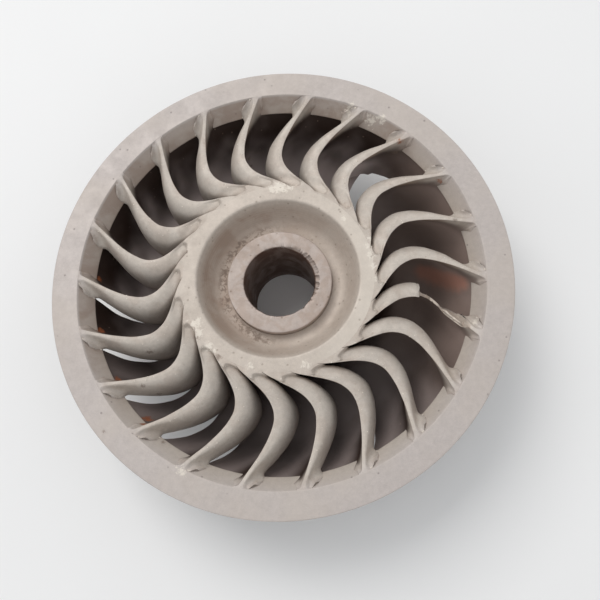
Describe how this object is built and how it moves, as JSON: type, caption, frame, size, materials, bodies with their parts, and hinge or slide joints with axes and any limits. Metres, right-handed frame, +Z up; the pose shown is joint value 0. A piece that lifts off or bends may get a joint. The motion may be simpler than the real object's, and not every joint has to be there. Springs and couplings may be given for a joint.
{
  "type": "impulse turbine runner",
  "caption": "Open turbine wheel lying flat: a flat outer band, curved spoon-shaped buckets that hang below it, a dished hub and a bored sleeve.",
  "frame": {"origin": "centre of the hub's foot, on the ground plane", "axes": "+Z up along the wheel's axis, out of the flat face of the band; +X to the right and +Y to the top as the face is seen in the picture"},
  "size_m": [0.6, 0.5994, 0.15],
  "materials": {
    "band": "blasted cast stainless steel, matt, pinkish grey, fine pits and scratches",
    "hub": "blasted cast stainless steel, warm beige grey, stained brown in the recess",
    "sleeve": "turned face, worn matt, brown in the bore",
    "bucket": "blasted cast stainless steel, pale on the edges, rust brown deep in the hollows"
  },
  "bodies": {
    "root": {"outer_band": "band", "hub": "hub", "bore_sleeve": "sleeve", "bucket_01": "bucket", "bucket_02": "bucket", "bucket_03": "bucket", "bucket_04": "bucket", "bucket_05": "bucket", "bucket_06": "bucket", "bucket_07": "bucket", "bucket_08": "bucket", "bucket_09": "bucket", "bucket_10": "bucket", "bucket_11": "bucket", "bucket_12": "bucket", "bucket_13": "bucket", "bucket_14": "bucket", "bucket_15": "bucket", "bucket_16": "bucket", "bucket_17": "bucket", "bucket_18": "bucket", "bucket_19": "bucket", "bucket_20": "bucket", "bucket_21": "bucket", "bucket_22": "bucket"}
  },
  "joints": []
}
